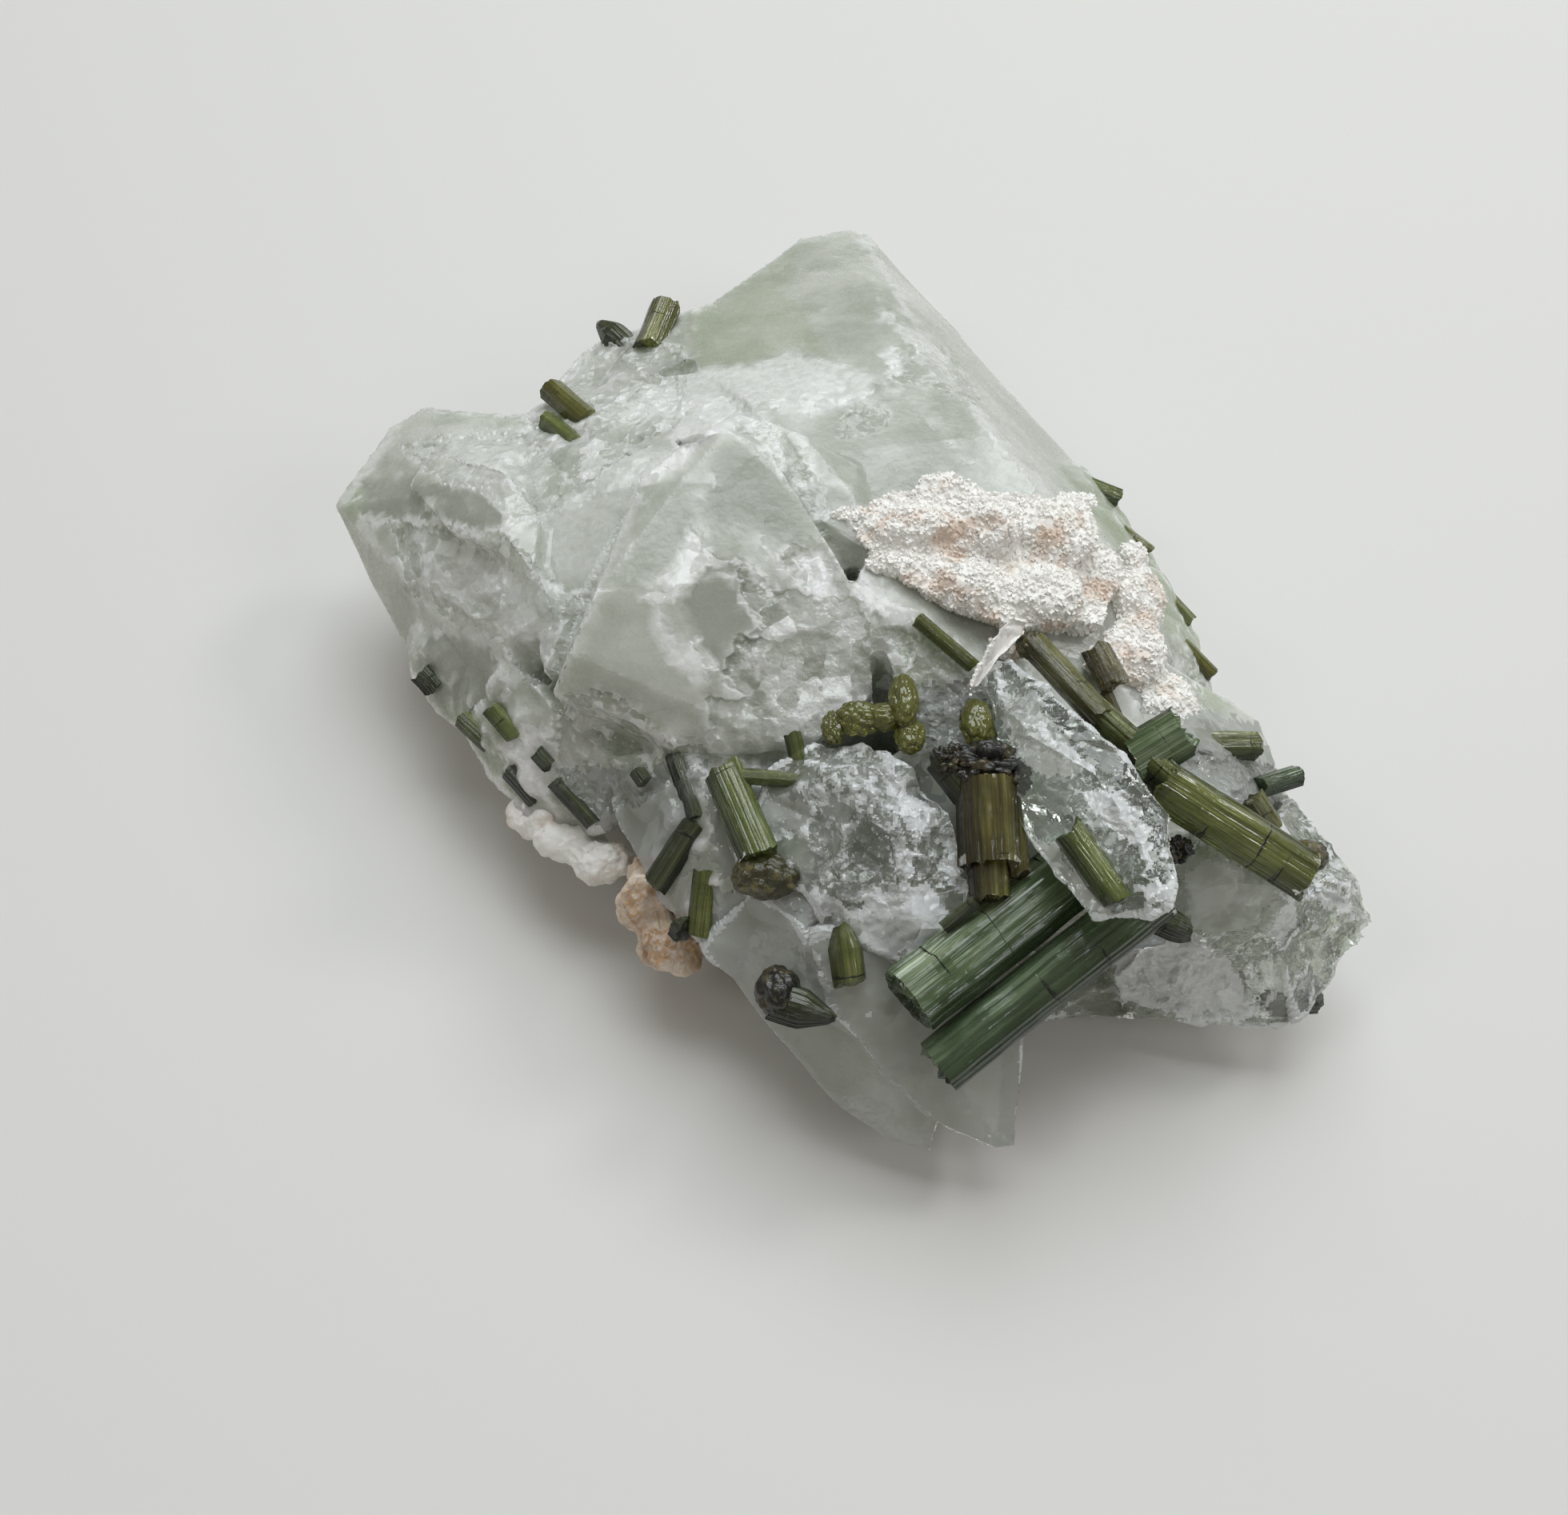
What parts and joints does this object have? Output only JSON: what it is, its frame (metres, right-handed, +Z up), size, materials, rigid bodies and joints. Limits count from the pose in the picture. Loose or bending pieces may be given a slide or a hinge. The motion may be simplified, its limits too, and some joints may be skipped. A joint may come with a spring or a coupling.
{
  "type": "green tourmaline specimen",
  "caption": "Loose hand specimen of milky to clear quartz with striated green tourmaline prisms lying in and across it and a crust of pale sugary feldspar; rests on a flat patch.",
  "frame": {"origin": "middle of the bounding box, on the plane that the specimen rests on", "axes": "+Z up; +Y away from the viewer towards the pointed far end, along the longest side; +X to the viewer's right"},
  "size_m": [0.0574, 0.0618, 0.021],
  "materials": {
    "quartz": "milky to clear quartz, smooth faces beside rough breaks",
    "feldspar": "matt sugary grains",
    "rusty_feldspar": "matt, stained beige to rust",
    "green_tourmaline": "glassy, grooved lengthwise",
    "olive_tourmaline": "glassy, grooved lengthwise, dark nodular ends",
    "dark_tourmaline": "glassy, nearly black"
  },
  "bodies": {
    "root": {"quartz_mass": "quartz", "feldspar_patch": "feldspar", "feldspar_rim": "feldspar", "feldspar_splinter": "feldspar", "feldspar_rusty": "rusty_feldspar", "prism_front_upper": "green_tourmaline", "prism_front_lower": "green_tourmaline", "prism_crossed_group": "green_tourmaline", "prism_in_blade": "green_tourmaline", "prism_right_level": "green_tourmaline", "prism_right_tip": "green_tourmaline", "prism_left_bright": "green_tourmaline", "prism_front_capped": "green_tourmaline", "prism_front_pointed": "green_tourmaline", "prism_left_dark": "green_tourmaline", "prism_left_lower": "green_tourmaline", "prism_face_green": "green_tourmaline", "knob_by_blade": "green_tourmaline", "prism_patch_thin": "green_tourmaline", "prism_right_small": "green_tourmaline", "prism_toe_pair": "green_tourmaline", "prism_flank_upper": "green_tourmaline", "prism_flank_middle": "green_tourmaline", "prism_flank_lower": "green_tourmaline", "prism_edge_thin": "green_tourmaline", "prism_left_edge_a": "green_tourmaline", "prism_left_edge_b": "green_tourmaline", "prism_left_edge_c": "green_tourmaline", "prism_left_edge_d": "green_tourmaline", "prism_white_small": "green_tourmaline", "prism_top_wedge": "green_tourmaline", "prism_top_lower": "green_tourmaline", "prism_valley_edge": "green_tourmaline", "prism_capped_pair": "olive_tourmaline", "knob_olive_long": "olive_tourmaline", "knob_olive_small": "olive_tourmaline", "prism_brown_end": "olive_tourmaline", "prism_top_olive": "olive_tourmaline", "prism_ring_end": "dark_tourmaline", "knob_black": "dark_tourmaline", "wedge_dark": "dark_tourmaline", "flake_dark": "dark_tourmaline", "ring_left_far": "dark_tourmaline", "prism_shelf_small": "dark_tourmaline"}
  },
  "joints": []
}
